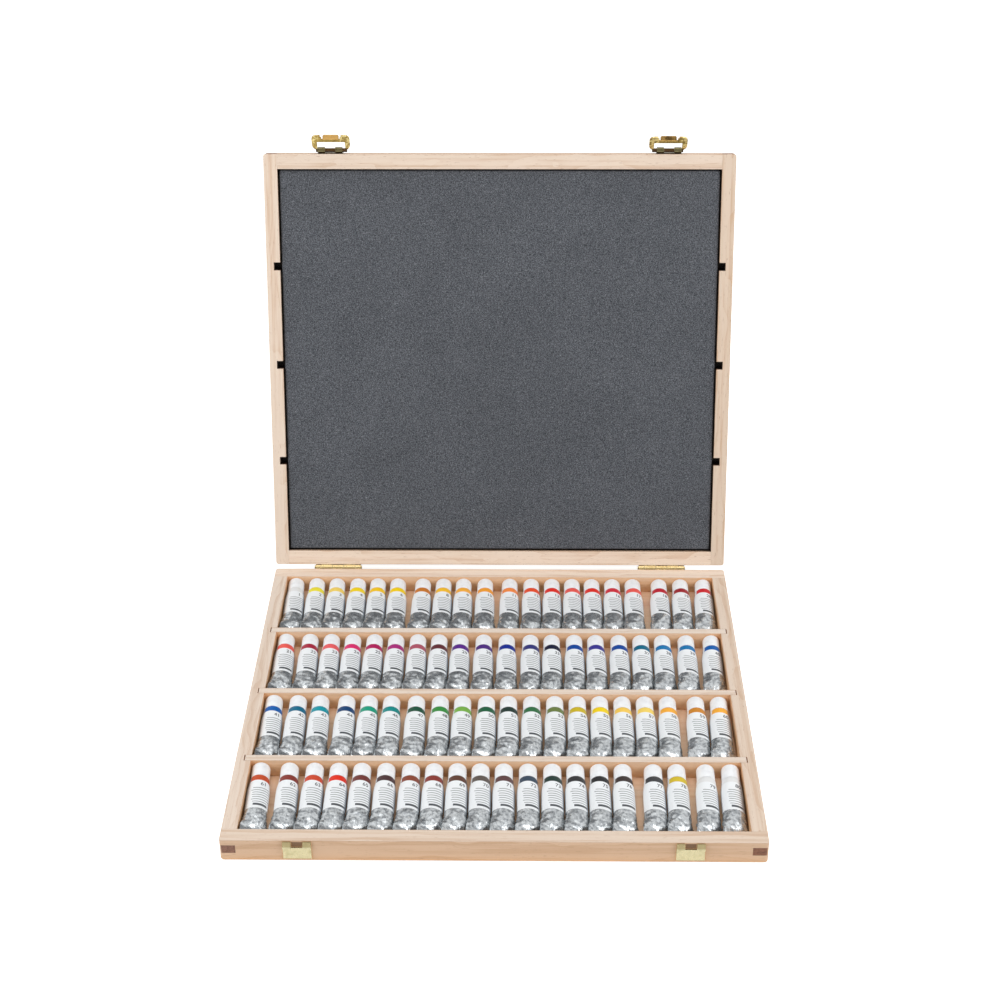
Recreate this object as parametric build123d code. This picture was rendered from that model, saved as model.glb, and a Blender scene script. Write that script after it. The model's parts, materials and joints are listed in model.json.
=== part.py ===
from build123d import *
import math
import os
import random

# A wooden watercolour box, standing open with its lid leaning back, in millimetres.
# +Z is up, the clasps are towards -Y and the hinges towards +Y.
# The origin is the centre of the tray's underside.
# The lid is drawn closed and then swung open about the hinge line by lid_angle.

# Paint tubes
tube_rows = 4
tubes_per_row = 20
tube_diameter = 13.5
tube_length = 70.2
tube_round_length = 3.0
belly_width = 15.5
belly_start = 14.0
belly_roll = 9.0
tail_start = 30.0
tail_flattening = 2.5
tail_fullness = 0.6
tube_sections = 14
tube_roll = 34.0
crimp_length = 6.5
crimp_thickness = 1.4
hem_length = 3.6
hem_thickness = 2.0
shoulder_radius = 0.8
neck_diameter = 7.4
neck_length = 9.5
cap_diameter = 12.6
cap_length = 13.6
cap_edge_radius = 1.6
cap_lift = 0.4
cap_bore_gap = 0.15

# Room round the tubes
tube_side_play = 3.4
tube_wall_gap = 0.35
tube_floor_gap = 0.2
tube_top_gap = 0.1
tube_tail_gap = 0.7
tube_cap_gap = 0.4
tube_slide = 0.1
tube_shift = 0.15
tube_turn = 0.35
tube_fan = 2.2
tube_roll_play = 1.6
loose_gaps = {
    1: {6: 3.4, 7: 0.4, 9: 1.2, 10: 3.2, 11: 1.6, 17: 4.6, 18: 1.0, 19: 1.2},
    2: {1: 2.0, 5: 0.4, 6: 0.4, 9: 1.7, 10: 1.3, 11: 2.0, 13: 0.9, 15: 1.3, 16: 0.7, 18: 1.6, 19: 2.5},
    3: {1: 0.6, 2: 0.4, 3: 2.2, 6: 2.0, 7: 0.8, 9: 0.8, 11: 0.6, 12: 0.6, 18: 4.0, 20: 1.0},
    4: {1: 3.6, 2: 0.6, 3: 0.3, 5: 0.7, 6: 0.7, 11: 0.8, 12: 0.5, 16: 4.4, 18: 3.6, 19: 0.8},
}

# Tray and lid joinery
side_wall = 10.4
end_wall = 11.4
edge_radius = 2.0
floor_thickness = 3.6
lid_panel_thickness = 3.0
panel_rebate = 5.0
panel_gap = 0.1
divider_thickness = 5.9
groove_gap = 0.1
groove_depth = 4.8
groove_end_gap = 0.7
tray_finger_start = 6.8
tray_finger_height = 6.4
lid_finger_height = 6.4
foam_thickness = 7.4
foam_recess = 2.4
foam_gap = 1.2

# Stop hinges
lid_angle = 106.17
hinge_inset = 50.0
hinge_width = 36.6
hinge_end_knuckle = 4.6
knuckle_gap = 0.2
barrel_diameter = 4.4
barrel_wood_gap = 0.2
leaf_thickness = 1.0
leaf_reach = 9.0
leaf_relief = 0.25
hinge_pin_diameter = 2.0
pin_bore_gap = 0.06
pin_head_diameter = 2.8
pin_head_length = 0.5
stop_nose_width = 1.2
stop_nose_reach = 1.6
stop_gap = 0.05
stop_ledge_drop = 0.35
stop_ledge_height = 1.4
screw_diameter = 2.2
screw_head_diameter = 4.0
screw_head_depth = 0.9
screw_length = 8.0
screw_from_edge = 2.7
screw_spacing = 12.0
screws_per_leaf = 3
screw_slot_width = 0.5
screw_slot_depth = 0.45
screw_hole_gap = 0.05

# Clasps
clasp_inset = 51.0
plate_width = 18.7
plate_thickness = 0.7
ear_width = 5.4
catch_bottom = 2.8
catch_lip_drop = 5.5
catch_reach = 2.5
catch_top_gap = 0.5
catch_lip_return = 0.75
lip_bend = 0.55
lid_plate_edge = 1.33
lid_plate_gap = 0.55
bail_bar_diameter = 3.0
bail_bar_gap = 0.12
bail_bar_end = 1.2
bail_width = 28.8
bail_thickness = 1.2
bail_side_gap = 1.3
bail_shift = 1.1
bail_heel = 0.3
bail_heel_radius = 5.4
bail_cross_bar = 2.4
bail_waist = 4.4
bail_lobe = 6.3
bail_lobe_radius = 3.6
bail_lip_gap = 0.3
tab_width = 12.2
tab_length = 2.6
tab_angle = 60.0
tab_notch = 0.9
tab_dip_margin = 0.9
bail_angles = {"left": 51.0, "right": 44.5}
prong_width = 1.8
prong_length = 5.0
prong_spacing = 11.0
prong_gap = 0.05

# Worked out from the sizes above
tube_radius = tube_diameter / 2
tube_body_length = tube_length - cap_length - cap_lift - crimp_length
crimp_half = math.pi * tube_radius / 2
highest_roll = math.radians(tube_roll - tube_roll_play)
tube_reach = crimp_half * math.cos(highest_roll) + hem_thickness / 2 * math.sin(highest_roll)
fan_room = (tube_length / 2 - crimp_length) * math.sin(math.radians(tube_fan))
turn_room = crimp_half * math.radians(tube_turn)
row_margin = tube_reach + tube_wall_gap + tube_shift + turn_room - fan_room
tube_pitch = tube_diameter + tube_side_play
row_span = (tubes_per_row - 1) * tube_pitch
inner_width = row_span + 2 * row_margin
compartment_depth = tube_tail_gap + tube_length + tube_cap_gap
groove_width = divider_thickness + 2 * groove_gap
inner_depth = tube_rows * compartment_depth + (tube_rows - 1) * divider_thickness
box_width = inner_width + 2 * side_wall
box_depth = inner_depth + 2 * end_wall
tray_height = floor_thickness + tube_floor_gap + tube_diameter + tube_top_gap
lid_height = foam_recess + foam_thickness + lid_panel_thickness
front_face = -box_depth / 2
back_face = box_depth / 2
divider_pitch = compartment_depth + divider_thickness
divider_places = [(index - tube_rows / 2) * divider_pitch for index in range(1, tube_rows)]
barrel_radius = barrel_diameter / 2
hinge_y = back_face + barrel_wood_gap + barrel_radius
hinge_x = box_width / 2 - hinge_inset
clasp_x = box_width / 2 - clasp_inset
hinge_line = Axis((0, hinge_y, tray_height), (1, 0, 0))
ear_radius = bail_bar_diameter / 2 + bail_bar_gap + plate_thickness
bail_axis_y = front_face - ear_radius - plate_thickness / 2
bail_axis_z = tray_height + lid_plate_gap + ear_radius
catch_lip_height = tray_height - catch_lip_drop
catch_prong_z = (catch_bottom + catch_lip_height) / 2
lid_plate_height = tray_height + lid_height - lid_plate_edge - bail_axis_z
lid_prong_z = bail_axis_z + ear_radius + prong_width
bail_window_end = bail_axis_z - catch_lip_height + bail_lip_gap
bail_window_width = plate_width + 2 * bail_side_gap

low = (Align.CENTER, Align.CENTER, Align.MIN)
high = (Align.CENTER, Align.CENTER, Align.MAX)


def block(size_x, size_y, size_z, place, align=low):
    return Pos(*place) * Box(size_x, size_y, size_z, align=align)


def opened(shape):
    return shape.rotate(hinge_line, -lid_angle)


def save(name, shape):
    export_step(shape, f"parts/{name}.step")


def group(pieces):
    return Compound(children=list(pieces))


def sides():
    return (("left", -1), ("right", 1))


def frame_ring(height, panel_thickness):
    # A rounded frame whose panel rebate and rounded edges are at its foot.
    body = block(box_width, box_depth, height, (0, 0, 0))
    round_edges = body.edges().filter_by(Axis.Z) + body.faces().sort_by(Axis.Z)[0].edges()
    body = fillet(round_edges, edge_radius)
    body -= block(inner_width, inner_depth, height, (0, 0, 0))
    rebate_width = inner_width + 2 * panel_rebate
    rebate_depth = inner_depth + 2 * panel_rebate
    return body - block(rebate_width, rebate_depth, panel_thickness, (0, 0, 0))


def corner_fingers(start, height, side):
    x = side * (box_width - side_wall) / 2
    y = (box_depth - end_wall) / 2
    return [block(side_wall, end_wall, height, (x, end * y, start)) for end in (-1, 1)]


def frame_rails(ring, height, finger_start, finger_height, groove_start, groove_height):
    # The side rails pass through the end rails at the finger, and the end rails run full width elsewhere.
    rails = {}
    for name, end in (("front", -1), ("back", 1)):
        rail = ring & block(box_width, end_wall, height, (0, end * (box_depth - end_wall) / 2, 0))
        for _, side in sides():
            for finger in corner_fingers(finger_start, finger_height, side):
                rail -= finger
        rails[name] = rail
    for name, side in sides():
        x = side * (box_width - side_wall) / 2
        rail = ring & block(side_wall, inner_depth, height, (x, 0, 0))
        for finger in corner_fingers(finger_start, finger_height, side):
            rail += ring & finger
        groove_x = side * (inner_width + groove_depth) / 2
        for y in divider_places:
            rail -= block(groove_depth, groove_width, groove_height, (groove_x, y, groove_start))
        rails[name] = rail
    return rails


def divider(y):
    length = inner_width + 2 * (groove_depth - groove_end_gap)
    return block(length, divider_thickness, tray_height - floor_thickness, (0, y, floor_thickness))


def tube_section(distance):
    # Round at the shoulder, pressed into a low belly, and flat at the crimp. The girth stays nearly the same.
    swelling = min(1.0, (distance - tube_round_length) / (belly_start - tube_round_length))
    belly_half = tube_radius + (belly_width / 2 - tube_radius) * math.sin(math.pi / 2 * swelling)
    belly_height = math.sqrt(2 * tube_radius ** 2 - belly_half ** 2)
    flat = max(0.0, (distance - tail_start) / (tube_body_length - tail_start)) ** tail_flattening
    half_width = belly_half + (crimp_half - belly_half) * flat
    half_height = max(belly_height * (1 - flat) ** tail_fullness, crimp_thickness / 2)
    turn = math.radians(tube_roll - belly_roll) * (1 - flat)
    plane = Plane((0, -distance, 0), x_dir=(math.cos(turn), 0, math.sin(turn)), z_dir=(0, -1, 0))
    return plane * (Circle(tube_radius) if swelling == 0 else Ellipse(half_width, half_height))


def tube_body():
    # The shoulder's outer face is at y = 0, the neck points to +Y and the crimp to -Y, lying flat.
    section_spacing = (tube_body_length - tube_round_length) / tube_sections
    shoulder = Cylinder(tube_radius, tube_round_length, align=high, rotation=(-90, 0, 0))
    body = fillet(shoulder.edges().sort_by(Axis.Y)[-1], shoulder_radius)
    places = [tube_round_length + section_spacing * index for index in range(tube_sections + 1)]
    body += loft([tube_section(place) for place in places])
    neck = Cylinder(neck_diameter / 2, neck_length, align=low, rotation=(-90, 0, 0))
    body += neck
    crimp = Box(2 * crimp_half, crimp_length, crimp_thickness, align=(Align.CENTER, Align.MAX, Align.CENTER))
    body += Pos(0, -tube_body_length, 0) * crimp
    hem = Box(2 * crimp_half, hem_length, hem_thickness, align=(Align.CENTER, Align.MIN, Align.CENTER))
    return body + Pos(0, -tube_body_length - crimp_length, 0) * hem


def tube_cap():
    cap = Cylinder(cap_diameter / 2, cap_length, align=low, rotation=(-90, 0, 0))
    cap = fillet(cap.edges().sort_by(Axis.Y)[-1], cap_edge_radius)
    bore_depth = neck_length - cap_lift + cap_bore_gap
    bore = Cylinder(neck_diameter / 2 + cap_bore_gap, bore_depth, align=low, rotation=(-90, 0, 0))
    return Pos(0, cap_lift, 0) * (cap - bore)


def tube_places(row):
    # Row 1 is at the back. Hands leave the tubes uneven, with wider gaps here and there.
    # Towards both walls the tubes fan out, caps outwards.
    chance = random.Random(row)
    gaps = [loose_gaps.get(row, {}).get(place, 0.0) for place in range(1, tubes_per_row + 1)]
    pitch = (row_span - sum(gaps)) / (tubes_per_row - 1)
    row_middle = (tubes_per_row - 1) / 2
    middle = (cap_length - tube_length) / 2
    compartment_middle = (tube_rows / 2 + 0.5 - row) * divider_pitch
    shoulder_y = compartment_middle + compartment_depth / 2 - tube_cap_gap - cap_length - cap_lift
    z = floor_thickness + tube_floor_gap + tube_radius
    places = []
    for index in range(tubes_per_row):
        x = index * pitch + sum(gaps[:index]) - row_span / 2
        x += chance.uniform(-tube_shift, tube_shift)
        y = shoulder_y + chance.uniform(-tube_slide, tube_slide)
        turn = chance.uniform(-tube_turn, tube_turn) + tube_fan * (1 - index / row_middle) ** 3
        roll = tube_roll + chance.uniform(-tube_roll_play, tube_roll_play)
        places.append(Pos(x, y + middle, z) * Rot(0, 0, turn) * Rot(0, roll, 0) * Pos(0, -middle, 0))
    return places


def knuckle_spans(x):
    middle_width = (hinge_width - 2 * hinge_end_knuckle) / 3
    widths = [hinge_end_knuckle, middle_width, middle_width, middle_width, hinge_end_knuckle]
    spans = []
    start = x - hinge_width / 2
    for width in widths:
        spans.append((start + width / 2, width - knuckle_gap))
        start += width
    return spans


def along_x(radius, length, x, y, z):
    return Pos(x, y, z) * Cylinder(radius, length, rotation=(0, 90, 0))


def screw_places(x, direction):
    z = tray_height + direction * (leaf_reach - screw_from_edge)
    middle = (screws_per_leaf - 1) / 2
    return [(x + (index - middle) * screw_spacing, z) for index in range(screws_per_leaf)]


def countersink(x, z, extra):
    # Taper and shank of one screw seat or screw, head on the leaf's outer face, pointing to -Y.
    face_y = back_face + leaf_thickness
    head_radius = screw_head_diameter / 2 + extra
    shank_radius = screw_diameter / 2 + extra
    cone = Cone(shank_radius, head_radius, screw_head_depth, align=high)
    shank = Cylinder(shank_radius, screw_length, align=high)
    return Pos(x, face_y, z) * Rot(-90, 0, 0) * (cone + shank)


def screws(x, direction):
    made = []
    for place_x, z in screw_places(x, direction):
        screw = countersink(place_x, z, 0.0)
        slot_y = back_face + leaf_thickness - screw_slot_depth / 2
        slot = Box(screw_head_diameter, screw_slot_depth, screw_slot_width)
        made.append(screw - Pos(place_x, slot_y, z) * slot)
    return group(made)


def screw_holes(x, direction):
    return [countersink(place_x, z, screw_hole_gap) for place_x, z in screw_places(x, direction)]


def hinge_leaf(x, direction, own, other):
    # direction is -1 for the tray's leaf, below the hinge line, and +1 for the lid's, above it.
    spans = knuckle_spans(x)
    leaf_y = back_face + leaf_thickness / 2
    middle_z = tray_height + direction * leaf_reach / 2
    leaf = Pos(x, leaf_y, middle_z) * Box(hinge_width - knuckle_gap, leaf_thickness, leaf_reach)
    corner_edges = leaf.edges().filter_by(Axis.Y).group_by(Axis.Z)[0 if direction < 0 else -1]
    leaf = fillet(corner_edges, leaf_thickness)
    for index in other:
        middle, width = spans[index]
        clearance = barrel_radius + leaf_relief
        leaf -= along_x(clearance, width + 2 * knuckle_gap, middle, hinge_y, tray_height)
    for index in own:
        middle, width = spans[index]
        leaf += along_x(barrel_radius, width, middle, hinge_y, tray_height)
    bore = hinge_pin_diameter / 2 + pin_bore_gap
    leaf -= along_x(bore, 2 * hinge_width, x, hinge_y, tray_height)
    for hole in screw_holes(x, direction):
        leaf -= hole
    return leaf


def stop_nose(middle, width):
    # A lug on a lid knuckle: it points straight down when the lid is open.
    reach = barrel_radius + stop_nose_reach
    lug = Pos(middle, hinge_y, tray_height) * Box(width, stop_nose_width, reach, align=high)
    bore = along_x(hinge_pin_diameter / 2 + pin_bore_gap, 2 * width, middle, hinge_y, tray_height)
    return lug - bore


def stop_ledge(middle, width):
    # A step on the tray's leaf that the lug meets when the lid is open.
    start = back_face + leaf_thickness
    end = hinge_y - stop_nose_width / 2 - stop_gap
    top = tray_height - barrel_radius - stop_ledge_drop
    return Pos(middle, (start + end) / 2, top) * Box(width, end - start, stop_ledge_height, align=high)


def tray_leaf(x):
    leaf = hinge_leaf(x, -1, (0, 2, 4), (1, 3))
    for index in (1, 3):
        leaf += stop_ledge(*knuckle_spans(x)[index])
    return leaf


def lid_leaf(x):
    leaf = opened(hinge_leaf(x, 1, (1, 3), (0, 2, 4)))
    for index in (1, 3):
        leaf += stop_nose(*knuckle_spans(x)[index])
    return leaf


def hinge_pin(x):
    length = hinge_width + 2 * knuckle_gap
    pin = along_x(hinge_pin_diameter / 2, length, x, hinge_y, tray_height)
    for end in (-1, 1):
        head_x = x + end * (length + pin_head_length) / 2
        pin += along_x(pin_head_diameter / 2, pin_head_length, head_x, hinge_y, tray_height)
    return pin


def strip(points, width, x):
    # A bent strip of plate: its centre line is given in Y and Z, and each bend is as thick as the plate.
    made = None
    for (start_y, start_z), (end_y, end_z) in zip(points, points[1:]):
        length = math.hypot(end_y - start_y, end_z - start_z)
        lean = math.degrees(math.atan2(end_z - start_z, end_y - start_y))
        middle = Pos(x, (start_y + end_y) / 2, (start_z + end_z) / 2)
        straight = middle * Rot(lean, 0, 0) * Box(width, length, plate_thickness)
        made = straight if made is None else made + straight
    for y, z in points[1:-1]:
        made += along_x(plate_thickness / 2, width, x, y, z)
    return made


def prongs(x, z, extra):
    made = []
    for side in (-1, 1):
        place = (x + side * prong_spacing / 2, front_face, z)
        size = Box(prong_width + 2 * extra, prong_length + extra, plate_thickness + 2 * extra,
                   align=(Align.CENTER, Align.MIN, Align.CENTER))
        made.append(Pos(*place) * size)
    return made


def catch_plate(x):
    middle_y = front_face - plate_thickness / 2
    outer_y = front_face - catch_reach + plate_thickness / 2
    top = tray_height - catch_top_gap - plate_thickness / 2
    lip = catch_lip_height + plate_thickness / 2
    shoulder = lip + catch_lip_return
    plate = block(plate_width, plate_thickness, catch_lip_height - catch_bottom, (x, middle_y, catch_bottom))
    points = [(middle_y, catch_bottom), (middle_y, top), (middle_y - lip_bend, top), (outer_y, shoulder),
              (outer_y, lip), (outer_y + catch_lip_return, lip)]
    for side in (-1, 1):
        plate += strip(points, ear_width, x + side * (plate_width - ear_width) / 2)
    for prong in prongs(x, catch_prong_z, 0.0):
        plate += prong
    return plate


def lid_plate(x):
    middle_y = front_face - plate_thickness / 2
    plate = block(plate_width, plate_thickness, lid_plate_height, (x, middle_y, bail_axis_z))
    for side in (-1, 1):
        ear_x = x + side * (plate_width - ear_width) / 2
        plate += along_x(ear_radius, ear_width, ear_x, bail_axis_y, bail_axis_z)
    bore = along_x(ear_radius - plate_thickness, 2 * plate_width, x, bail_axis_y, bail_axis_z)
    middle_gap = block(plate_width - 2 * ear_width, 4 * ear_radius, 2 * ear_radius,
                       (x, front_face, bail_axis_z - ear_radius))
    plate = plate - bore - middle_gap
    for prong in prongs(x, lid_prong_z, 0.0):
        plate += prong
    return plate


def bail_outline():
    # Drawn flat with the hinge bar along X at the origin and the finger tab towards +Y.
    end = bail_window_end + bail_lobe
    waist = bail_window_end + bail_waist
    height = end - bail_heel
    ring = Pos(0, bail_heel + height / 2) * Rectangle(bail_width, height)
    corners = ring.vertices().group_by(Axis.Y)
    ring = fillet(corners[0], bail_heel_radius)
    ring = fillet(ring.vertices().group_by(Axis.Y)[-1], bail_lobe_radius)
    dip = Pos(0, waist + height / 2) * Rectangle(tab_width + 2 * (tab_notch + tab_dip_margin), height)
    window_height = bail_window_end - bail_heel
    window = Pos(0, bail_heel + window_height / 2) * Rectangle(bail_window_width, window_height)
    tab_start = bail_window_end + bail_cross_bar
    slot = Pos(0, tab_start + height / 2) * Rectangle(tab_width + 2 * tab_notch, height)
    return ring - dip - window - slot


def bail():
    # Hanging straight down from its bar at the origin, its outer face towards -Y.
    plate = Rot(-90, 0, 0) * extrude(bail_outline(), bail_thickness / 2, both=True)
    bar_length = bail_window_width + 2 * bail_bar_end
    bar = Cylinder(bail_bar_diameter / 2, bar_length, rotation=(0, 90, 0))
    tab_start = bail_window_end + bail_cross_bar
    tab = Box(tab_width, bail_thickness, tab_length + bail_thickness, align=high)
    tab = fillet(tab.edges().filter_by(Axis.Y).group_by(Axis.Z)[0], bail_thickness)
    tab = Pos(0, 0, -tab_start + bail_thickness / 2) * Rot(-tab_angle, 0, 0) * tab
    return plate + bar + tab


def placed_bail(name, side):
    # Each loop has slid along its ears towards the middle of the box, within its play.
    swung = Rot(-bail_angles[name], 0, 0) * bail()
    return opened(Pos(side * (clasp_x - bail_shift), bail_axis_y, bail_axis_z) * swung)


def make_tray():
    ring = frame_ring(tray_height, floor_thickness)
    rails = frame_rails(ring, tray_height, tray_finger_start, tray_finger_height,
                        floor_thickness, tray_height - floor_thickness)
    for _, side in sides():
        for hole in screw_holes(side * hinge_x, -1):
            rails["back"] -= hole
        for slot in prongs(side * clasp_x, catch_prong_z, prong_gap):
            rails["front"] -= slot
    for name, rail in rails.items():
        save(f"tray_{name}_rail", rail)
    panel_width = inner_width + 2 * (panel_rebate - panel_gap)
    panel_depth = inner_depth + 2 * (panel_rebate - panel_gap)
    save("tray_floor", block(panel_width, panel_depth, floor_thickness, (0, 0, 0)))
    for name, y in zip(("front", "middle", "back"), divider_places):
        save(f"divider_{name}", divider(y))


def make_lid():
    ring = frame_ring(lid_height, lid_panel_thickness)
    finger_start = lid_height - lid_finger_height
    rails = frame_rails(ring, lid_height, finger_start, lid_finger_height,
                        lid_panel_thickness, lid_height - lid_panel_thickness)
    closed_top = tray_height + lid_height
    # The frame is made like the tray, foot down, and turned over about Y onto the closed tray.
    turned = {"front": "front", "back": "back", "left": "right", "right": "left"}
    rails = {turned[name]: Pos(0, 0, closed_top) * Rot(0, 180, 0) * rail for name, rail in rails.items()}
    for _, side in sides():
        for hole in screw_holes(side * hinge_x, 1):
            rails["back"] -= hole
        for slot in prongs(side * clasp_x, lid_prong_z, prong_gap):
            rails["front"] -= slot
    for name, rail in rails.items():
        save(f"lid_{name}_rail", opened(rail))
    panel_width = inner_width + 2 * (panel_rebate - panel_gap)
    panel_depth = inner_depth + 2 * (panel_rebate - panel_gap)
    panel = block(panel_width, panel_depth, lid_panel_thickness, (0, 0, closed_top - lid_panel_thickness))
    save("lid_panel", opened(panel))
    foam_size = (inner_width - 2 * foam_gap, inner_depth - 2 * foam_gap, foam_thickness)
    save("lid_foam", opened(block(*foam_size, (0, 0, tray_height + foam_recess))))


def make_hardware():
    for name, side in sides():
        save(f"{name}_hinge_tray_leaf", tray_leaf(side * hinge_x))
        save(f"{name}_hinge_lid_leaf", lid_leaf(side * hinge_x))
        save(f"{name}_hinge_pin", hinge_pin(side * hinge_x))
        save(f"{name}_hinge_tray_screws", screws(side * hinge_x, -1))
        save(f"{name}_hinge_lid_screws", opened(screws(side * hinge_x, 1)))
        save(f"{name}_clasp_catch", catch_plate(side * clasp_x))
        save(f"{name}_clasp_lid_plate", opened(lid_plate(side * clasp_x)))
        save(f"{name}_clasp_bail", placed_bail(name, side))


def make_tubes():
    body = tube_body()
    cap = tube_cap()
    for row in range(1, tube_rows + 1):
        places = tube_places(row)
        save(f"row_{row}_tubes", group(place * body for place in places))
        save(f"row_{row}_caps", group(place * cap for place in places))


os.makedirs("parts", exist_ok=True)
make_tray()
make_lid()
make_hardware()
make_tubes()
print(f"box {box_width:.1f} x {box_depth:.1f}, tray {tray_height:.1f}, lid {lid_height:.1f} high")
print(f"tubes: pitch {tube_pitch:.2f}, compartment {compartment_depth:.1f} deep, {inner_width:.1f} wide")
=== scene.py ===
# %% [markdown]
# # A wooden box of watercolour tubes
# The box was drawn in CAD first: rails, dividers, stop hinges, clasps and eighty tubes, each in its true
# place. This lesson gives it its looks. The wooden and brass parts keep their CAD shapes and get materials of
# their own. The tubes, their caps and the foam pad are made again with more detail, and stand in for the
# CAD's plain ones.

# %% Tools and the CAD frame
import json
import math

import bpy
import numpy as np
from mathutils import Matrix, Vector, noise


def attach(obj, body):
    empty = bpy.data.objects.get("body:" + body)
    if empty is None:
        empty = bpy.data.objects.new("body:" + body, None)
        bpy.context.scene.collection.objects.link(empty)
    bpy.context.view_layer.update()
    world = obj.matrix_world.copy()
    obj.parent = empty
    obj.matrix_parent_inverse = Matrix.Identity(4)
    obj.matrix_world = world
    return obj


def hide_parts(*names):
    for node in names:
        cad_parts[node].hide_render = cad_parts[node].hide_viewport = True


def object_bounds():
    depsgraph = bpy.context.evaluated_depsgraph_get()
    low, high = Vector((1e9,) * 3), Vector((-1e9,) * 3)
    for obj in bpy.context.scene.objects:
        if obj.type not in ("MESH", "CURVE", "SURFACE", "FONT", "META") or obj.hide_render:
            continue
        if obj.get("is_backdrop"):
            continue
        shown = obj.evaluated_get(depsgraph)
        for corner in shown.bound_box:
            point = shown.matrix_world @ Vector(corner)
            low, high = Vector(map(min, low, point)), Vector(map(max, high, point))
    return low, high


MM = 0.001
ROW_NAMES = ["row_1", "row_2", "row_3", "row_4"]
SIDES = ["left", "right"]

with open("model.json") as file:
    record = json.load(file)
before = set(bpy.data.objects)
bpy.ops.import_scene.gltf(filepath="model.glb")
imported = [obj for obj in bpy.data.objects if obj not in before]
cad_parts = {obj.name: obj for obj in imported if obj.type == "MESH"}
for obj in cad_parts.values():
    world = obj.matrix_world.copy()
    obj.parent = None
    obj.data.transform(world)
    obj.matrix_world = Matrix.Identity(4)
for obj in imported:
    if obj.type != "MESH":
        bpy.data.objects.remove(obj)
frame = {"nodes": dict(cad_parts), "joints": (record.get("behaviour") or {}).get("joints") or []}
cad_nodes = frame["nodes"]
cad_low, cad_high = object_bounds()
lid_hinge = next(joint for joint in frame["joints"] if joint["name"] == "lid_hinge")
LID_ANGLE = math.radians(-lid_hinge["range_deg"][0])
HINGE_LINE = Vector(lid_hinge["pos_m"])
print(len(cad_nodes), "CAD pieces, the lid", round(math.degrees(LID_ANGLE), 2), "degrees from shut")

# %% [markdown]
# ## The camera
# The photograph was taken from the front, a little to the right of the middle, looking down by about 31
# degrees. A long lens keeps the sides of the box nearly parallel. The focal length is given in pixels of the
# square picture, because that is what can be measured from the box's corners, and it is turned into
# millimetres of a 36 mm sensor.

# %% Camera
PICTURE_SIZE = 1000
FOCAL_PIXELS = 1848.9
SENSOR_WIDTH = 36.0
CAMERA_PLACE = Vector((18.2, -1083.0, 829.2)) * MM
LOOK_DOWN = math.radians(30.94)
LOOK_LEFT = math.radians(0.81)
LEAN_RIGHT = math.radians(-0.259)

camera_data = bpy.data.cameras.new("camera")
camera_data.sensor_width = SENSOR_WIDTH
camera_data.lens = SENSOR_WIDTH * FOCAL_PIXELS / PICTURE_SIZE
camera = bpy.data.objects.new("camera", camera_data)
bpy.context.scene.collection.objects.link(camera)
heading = Matrix.Rotation(LOOK_LEFT, 4, "Z") @ Matrix.Rotation(math.pi / 2 - LOOK_DOWN, 4, "X")
camera.matrix_world = Matrix.Translation(CAMERA_PLACE) @ heading @ Matrix.Rotation(LEAN_RIGHT, 4, "Z")
bpy.context.scene.camera = camera
bpy.context.scene.view_settings.view_transform = "Standard"
print("lens", round(camera_data.lens, 2), "mm")

# %% [markdown]
# ## Small helpers for node trees
# Every material and every Geometry Nodes tree is a handful of nodes joined by links. These helpers add one
# node, fill its inputs with numbers or with the output of another node, and hand back what the next node
# needs.

# %% Node helpers
def add_node(tree, kind, inputs=None, **settings):
    node = tree.nodes.new(kind)
    for name, value in settings.items():
        setattr(node, name, value)
    for key, value in (inputs or {}).items():
        if isinstance(value, bpy.types.NodeSocket):
            tree.links.new(value, node.inputs[key])
        else:
            node.inputs[key].default_value = value
    return node


def tree_of(*values):
    return next(value.id_data for value in values if isinstance(value, bpy.types.NodeSocket))


def calc(operation, first, second=0.0, clamp=False):
    return add_node(tree_of(first, second), "ShaderNodeMath", {0: first, 1: second}, operation=operation,
                    use_clamp=clamp).outputs[0]


def plus(first, second, clamp=False):
    return calc("ADD", first, second, clamp)


def minus(first, second):
    return calc("SUBTRACT", first, second)


def times(first, second):
    return calc("MULTIPLY", first, second)


def size_of(value):
    return calc("ABSOLUTE", value)


def ramp(value, start, end, low=0.0, high=1.0, smooth=True):
    inputs = {"Value": value, "From Min": start, "From Max": end, "To Min": low, "To Max": high}
    kind = "SMOOTHSTEP" if smooth else "LINEAR"
    return add_node(tree_of(value), "ShaderNodeMapRange", inputs, interpolation_type=kind).outputs["Result"]


def mask_between(value, limits, blur):
    low, high = limits
    return times(ramp(value, low, low + blur), ramp(value, high, high - blur))


def mix_colour(share, first, second):
    inputs = {"Factor": share, 6: first, 7: second}
    return add_node(tree_of(share), "ShaderNodeMix", inputs, data_type="RGBA").outputs[2]


def vector_calc(operation, first, second, result=0):
    return add_node(tree_of(first), "ShaderNodeVectorMath", {0: first, 1: second},
                    operation=operation).outputs[result]


def scaled_vector(vector, factor):
    inputs = {0: vector, "Scale": factor}
    return add_node(tree_of(vector), "ShaderNodeVectorMath", inputs, operation="SCALE").outputs[0]


def axes_of(vector):
    return add_node(tree_of(vector), "ShaderNodeSeparateXYZ", {0: vector}).outputs


def noise_of(vector, scale, detail, roughness=0.5, output=0):
    inputs = {"Vector": vector, "Scale": scale, "Detail": detail, "Roughness": roughness}
    return add_node(tree_of(vector), "ShaderNodeTexNoise", inputs).outputs[output]


def stretched_noise(vector, stretch, detail, roughness=0.5):
    return noise_of(vector_calc("MULTIPLY", vector, stretch), 1.0, detail, roughness)


def object_place(tree):
    return add_node(tree, "ShaderNodeTexCoord").outputs["Object"]


def use_group(tree, group, inputs):
    return add_node(tree, "ShaderNodeGroup", inputs, node_tree=group).outputs


def openness_within(tree, distance):
    return add_node(tree, "ShaderNodeAmbientOcclusion", {"Distance": distance}, samples=4).outputs["AO"]


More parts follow.
